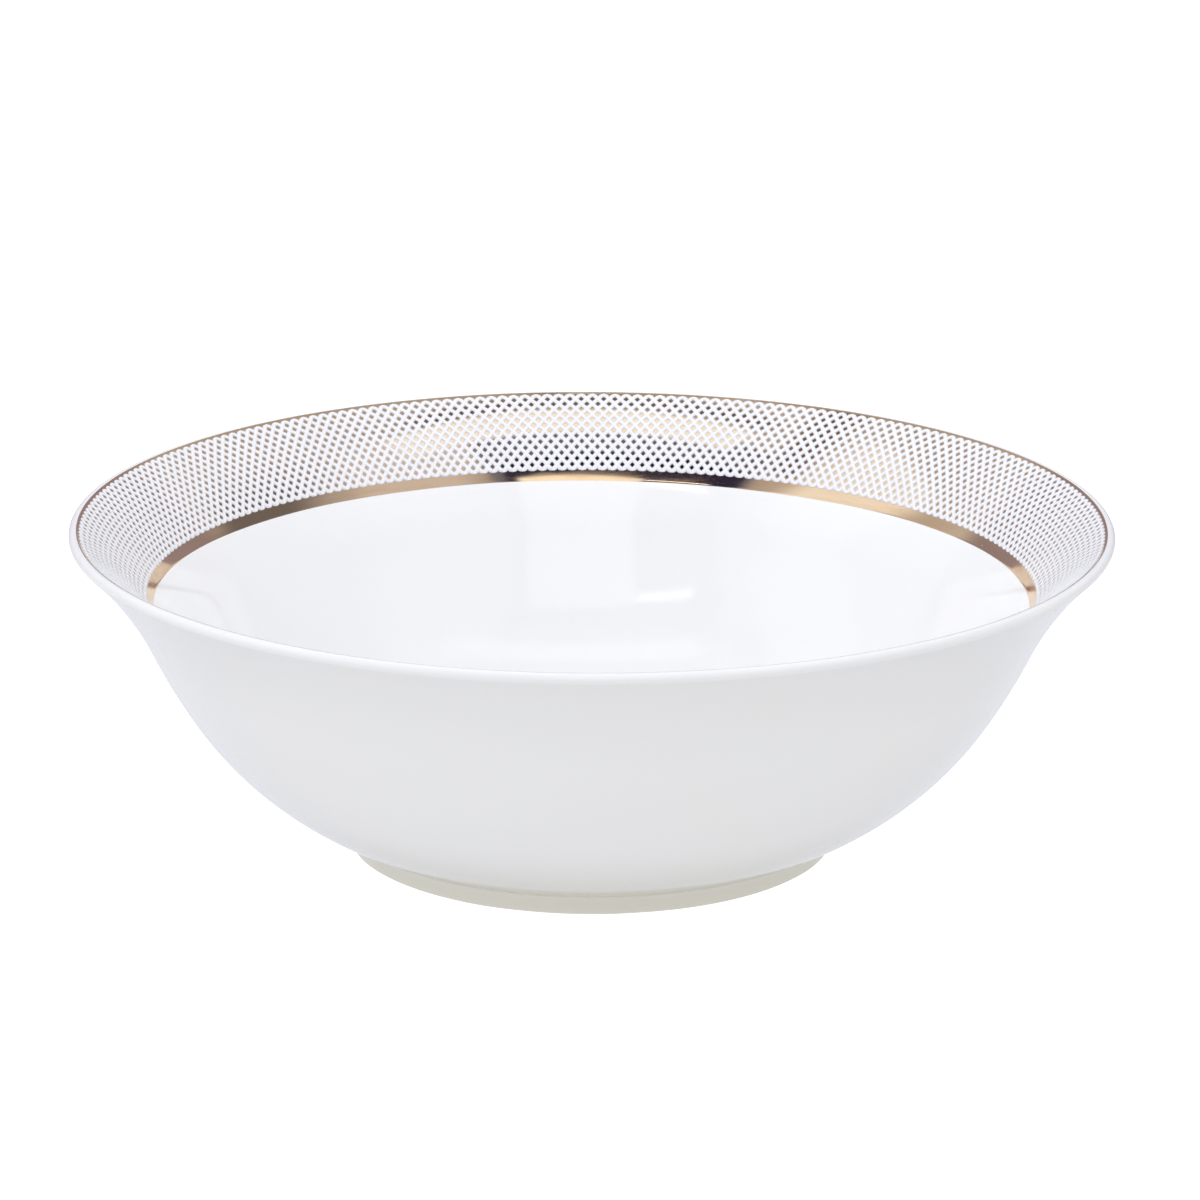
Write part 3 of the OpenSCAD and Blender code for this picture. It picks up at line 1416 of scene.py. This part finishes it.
    @staticmethod
    def _wrap(wiring: Wiring, given: object, flat: bpy.types.NodeSocket) -> bpy.types.NodeSocket:
        """Notes the enamel's thickness on the flat net, then wraps it on to the inner flare.

        Args:
            wiring: the tree's wiring.
            given: the tree's inputs.
            flat: the flat net.

        Returns:
            The wrapped net.
        """
        split = wiring.add("ShaderNodeSeparateXYZ")
        wiring.feed(split.inputs[0], wiring.add("GeometryNodeInputPosition").outputs[0])
        turn = wiring.math("MULTIPLY", wiring.math("DIVIDE", split.outputs["X"], given["Columns"]), math.tau)
        down = wiring.math("DIVIDE", split.outputs["Y"], given["Flare Radius"])
        heading = wiring.math("ADD", down, given["First Heading"])
        lift = wiring.math("ADD", split.outputs["Z"], given["Lift"])
        reach = wiring.math("ADD", given["Flare Radius"], lift)
        outward = wiring.math("MULTIPLY", reach, wiring.math("SINE", heading))
        radius = wiring.math("ADD", outward, given["Flare Centre Radius"])
        rise = wiring.math("MULTIPLY", reach, wiring.math("COSINE", heading))
        place = wiring.add("ShaderNodeCombineXYZ")
        wiring.feed(place.inputs["X"], wiring.math("MULTIPLY", radius, wiring.math("COSINE", turn)))
        wiring.feed(place.inputs["Y"], wiring.math("MULTIPLY", radius, wiring.math("SINE", turn)))
        wiring.feed(place.inputs["Z"], wiring.math("SUBTRACT", given["Flare Centre Height"], rise))
        noted = wiring.add("GeometryNodeStoreNamedAttribute", data_type="FLOAT", domain="POINT")
        wiring.feed(noted.inputs["Geometry"], flat)
        wiring.feed(noted.inputs["Name"], THICKNESS)
        wiring.feed(noted.inputs["Value"], split.outputs["Z"])
        moved = wiring.add("GeometryNodeSetPosition")
        wiring.feed(moved.inputs["Geometry"], noted.outputs["Geometry"])
        wiring.feed(moved.inputs["Position"], place.outputs[0])
        return moved.outputs["Geometry"]


# ---------------------------------------------------------------------------------------------
# Studio
# ---------------------------------------------------------------------------------------------


@dataclass(frozen=True)
class StudioPanel:
    """A soft panel of light or a dark flag, far away all round the bowl.

    Attributes:
        name: what it is.
        centre: direction of its centre.
        half_width: tangent of half its angle of width.
        half_height: tangent of half its angle of height.
        colour: its light.
        turn: how far it is turned anticlockwise about its centre, in degrees.
        softness: width of its soft edge, as a tangent.
    """

    name: str
    centre: tuple[float, float, float]
    half_width: float
    half_height: float
    colour: Colour
    turn: float = 0.0
    softness: float = 0.04


@dataclass(frozen=True)
class Surround:
    """The plain light all round, below the panels.

    Attributes:
        mirror_low: what a glossy surface mirrors towards the horizon and below.
        mirror_high: what it mirrors overhead.
        from_floor: soft light from straight below.
        from_level: soft light from the horizon.
        from_above: soft light from overhead.
        from_left: soft light from the left.
        left_share: how far the light from the left takes over on that side.
    """

    mirror_low: Colour = (0.72, 0.73, 0.78)
    mirror_high: Colour = (0.42, 0.42, 0.47)
    from_floor: Colour = (0.76, 0.75, 0.73)
    from_level: Colour = (0.97, 0.965, 0.955)
    from_above: Colour = (1.13, 1.13, 1.14)
    from_left: Colour = (1.26, 1.27, 1.33)
    left_share: float = 0.3


@dataclass
class Studio:
    """The pale floor, the soft light and the camera.

    Attributes:
        aim_height: height of the point on the axis that the camera stands off from.
        distance: the camera's distance from that point.
        elevation: how far above the horizontal it stands, in degrees.
        lens: focal length, in millimetres on the usual sensor.
        look_offset: how far right of and above that point the camera looks.
        roll: how far the camera is turned about its view, in degrees.
        floor_glow: the floor's own light, which keeps it as pale as the surround.
        surround: the plain light all round.
        panels: the lights and flags in front of it, each over the ones before.
    """

    aim_height: float = 40 * MM
    distance: float = 1.5
    elevation: float = 16.97
    lens: float = 202.9
    look_offset: tuple[float, float] = (1.84 * MM, 15.2 * MM)
    roll: float = 0.24
    floor_glow: float = 0.68
    surround: Surround = Surround()
    panels: tuple[StudioPanel, ...] = (
        StudioPanel("backdrop", (-0.06, 0.98, -0.18), 0.90, 0.45, (0.86, 0.88, 0.95), softness=0.30),
        StudioPanel("back_wall", (0.0, 0.974, 0.225), 1.90, 0.42, (0.30, 0.27, 0.35), softness=0.12),
        StudioPanel("right_wall", (0.70, -0.05, 0.71), 0.62, 0.42, (0.44, 0.45, 0.52), softness=0.12),
        StudioPanel("right_wing", (0.60, -0.36, 0.71), 0.24, 0.42, (0.62, 0.63, 0.74), 25.0, 0.08),
        StudioPanel("right_shade", (0.82, 0.26, 0.50), 0.20, 0.28, (0.16, 0.16, 0.20), softness=0.14),
        StudioPanel("left_wall", (-0.60, -0.05, 0.79), 0.55, 0.40, (0.50, 0.50, 0.55), softness=0.12),
        StudioPanel("left_light", (-0.77, -0.10, 0.63), 0.20, 0.42, (0.92, 0.97, 1.08), -12.0, 0.07),
        StudioPanel("dark_gap", (-0.10, -0.55, 0.83), 0.50, 0.38, (0.16, 0.18, 0.31), softness=0.02),
        StudioPanel("camera_side", (-0.12, -0.72, 0.69), 0.47, 0.38, (0.022, 0.022, 0.07), softness=0.012),
        StudioPanel("overhead_gap", (0.0, 0.0, 1.0), 0.42, 0.055, (0.15, 0.14, 0.16), softness=0.03),
        StudioPanel("left_strut", (-0.50, 0.02, 0.87), 0.055, 0.32, (0.16, 0.15, 0.17), -22.0, 0.03),
        StudioPanel("overhead_light", (0.07, -0.17, 0.98), 0.50, 0.10, (1.05, 1.12, 1.22), 3.0, 0.02),
        StudioPanel("window", (0.05, -0.73, 0.68), 0.24, 0.20, (1.12, 1.12, 1.14), 3.0, 0.008),
        StudioPanel("small_lamp", (-0.315, -0.585, 0.748), 0.12, 0.018, (3.2, 3.2, 3.3), -4.0, 0.008),
    )

    def build(self) -> None:
        """Sets up the whole studio."""
        self.floor()
        self.world()
        self.lights()
        self.camera()

    def floor(self) -> None:
        """Lays the pale floor, which isn't part of the object and can be seen through from below."""
        half = 6.0
        mesh = bpy.data.meshes.new("studio_floor")
        corners = [(-half, -half, 0.0), (half, -half, 0.0), (half, half, 0.0), (-half, half, 0.0)]
        mesh.from_pydata(corners, [], [(0, 1, 2, 3)])
        floor = bpy.data.objects.new("studio_floor", mesh)
        bpy.context.scene.collection.objects.link(floor)
        material = bpy.data.materials.new("pale_floor")
        material.use_nodes = True
        wiring = Wiring(material.node_tree)
        shader = material.node_tree.nodes["Principled BSDF"]
        place = wiring.add("ShaderNodeTexCoord").outputs["Object"]
        tone = wiring.noise(place, 3.0, Noise.MIXED)
        colour = wiring.mix(tone, rgba((0.93, 0.93, 0.93)), rgba((0.95, 0.95, 0.95)))
        wiring.feed(shader.inputs["Base Color"], colour)
        shader.inputs["Roughness"].default_value = 0.9
        shader.inputs["Specular IOR Level"].default_value = 0.1
        shader.inputs["Emission Color"].default_value = (1.0, 1.0, 1.0, 1.0)
        shader.inputs["Emission Strength"].default_value = self.floor_glow
        behind = wiring.add("ShaderNodeNewGeometry").outputs["Backfacing"]
        wiring.feed(shader.inputs["Alpha"], wiring.math("SUBTRACT", 1.0, behind))
        floor.data.materials.append(material)
        floor.visible_diffuse = False
        floor.visible_glossy = False

    def world(self) -> None:
        """Builds the soft white surround and the panels that the gold and the glaze mirror."""
        world = bpy.data.worlds.new("studio")
        bpy.context.scene.world = world
        world.use_nodes = True
        wiring = Wiring(world.node_tree)
        background = world.node_tree.nodes["Background"]
        light = self.surround
        direction = wiring.add("ShaderNodeTexCoord").outputs["Generated"]
        split = wiring.add("ShaderNodeSeparateXYZ")
        wiring.feed(split.inputs[0], direction)
        high = wiring.ramp(split.outputs["Z"], -0.1, 0.8)
        mirrored = wiring.mix(high, rgba(light.mirror_low), rgba(light.mirror_high))
        for panel in self.panels:
            mirrored = self._panel(wiring, direction, mirrored, panel)
        low = wiring.ramp(split.outputs["Z"], -1.0, 0.1)
        below = wiring.mix(low, rgba(light.from_floor), rgba(light.from_level))
        above = wiring.mix(high, below, rgba(light.from_above))
        side = wiring.math("MULTIPLY", wiring.ramp(split.outputs["X"], 0.9, -0.9), light.left_share)
        soft = wiring.mix(side, above, rgba(light.from_left))
        rays = wiring.add("ShaderNodeLightPath")
        lit = wiring.mix(rays.outputs["Is Glossy Ray"], soft, mirrored)
        seen = wiring.mix(rays.outputs["Is Camera Ray"], lit, rgba((1.0, 1.0, 1.0)))
        wiring.feed(background.inputs["Color"], seen)
        background.inputs["Strength"].default_value = 1.0

    @staticmethod
    def _panel(wiring: Wiring, direction: object, below: object, panel: StudioPanel) -> object:
        """Paints one panel over the surround.

        Args:
            wiring: the world's wiring.
            direction: the direction looked in.
            below: the light so far.
            panel: the panel to paint.

        Returns:
            The light with the panel in it.
        """
        centre = Vector(panel.centre).normalized()
        level = Vector((1.0, 0.0, 0.0))
        level = (level - centre * level.dot(centre)).normalized()
        width = Quaternion(centre, math.radians(panel.turn)) @ level
        height = centre.cross(width)
        ahead = wiring.vector("DOT_PRODUCT", direction, tuple(centre)).outputs["Value"]
        mask = wiring.math("GREATER_THAN", ahead, 0.01)
        for axis, half in ((width, panel.half_width), (height, panel.half_height)):
            across = wiring.vector("DOT_PRODUCT", direction, tuple(axis)).outputs["Value"]
            away = wiring.math("ABSOLUTE", wiring.math("DIVIDE", across, ahead))
            inside = wiring.ramp(away, half + panel.softness, half - panel.softness)
            mask = wiring.math("MULTIPLY", mask, inside)
        painted = wiring.mix(mask, below, rgba(panel.colour))
        painted.node.label = panel.name
        return painted

    def lights(self) -> None:
        """Hangs one large soft lamp overhead, to the left, for the shape of the inside and the lip."""
        lamp = bpy.data.lights.new("overhead_softbox", "AREA")
        lamp.shape = "RECTANGLE"
        lamp.size = 1.6
        lamp.size_y = 1.2
        lamp.energy = 4.0
        lamp.color = (1.0, 0.99, 0.98)
        holder = bpy.data.objects.new("overhead_softbox", lamp)
        holder.location = (-0.55, -0.2, 1.5)
        holder.rotation_euler = (Vector((0, 0, 0)) - holder.location).to_track_quat("-Z", "Y").to_euler()
        holder.visible_glossy = False
        bpy.context.scene.collection.objects.link(holder)

    def camera(self) -> None:
        """Stands the camera in front of the bowl, a little above it."""
        angle = math.radians(self.elevation)
        aim = Vector((0.0, 0.0, self.aim_height))
        place = aim + self.distance * Vector((0.0, -math.cos(angle), math.sin(angle)))
        look = aim + Vector((self.look_offset[0], 0.0, self.look_offset[1]))
        turn = (look - place).to_track_quat("-Z", "Y").to_matrix().to_4x4()
        turn.translation = place
        data = bpy.data.cameras.new("studio_camera")
        data.lens = self.lens
        data.sensor_width = 36.0
        data.clip_end = 50.0
        camera = bpy.data.objects.new("studio_camera", data)
        camera.matrix_world = turn
        bpy.context.scene.collection.objects.link(camera)
        camera.rotation_euler.rotate_axis("Z", math.radians(self.roll))
        bpy.context.scene.camera = camera
        bpy.context.scene.view_settings.view_transform = "Standard"


# ---------------------------------------------------------------------------------------------
# Whole bowl
# ---------------------------------------------------------------------------------------------


def main() -> None:
    """Builds the bowl and its studio."""
    logging.basicConfig(level=logging.INFO, format="%(name)s: %(message)s")
    low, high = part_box("glaze_coat")
    section = BowlSection(rim_radius=(high.x - low.x) / 2)
    layout = BorderLayout()
    lathe = Lathe(turns=layout.columns)
    bench = MaterialBench(SurfaceEffects())
    ChinaAndGlaze(section, lathe, bench).build()
    GoldWork(section, layout, lathe, bench).build()
    EnamelNet(section, layout, bench).build()
    Studio().build()


if __name__ == "__main__":
    main()
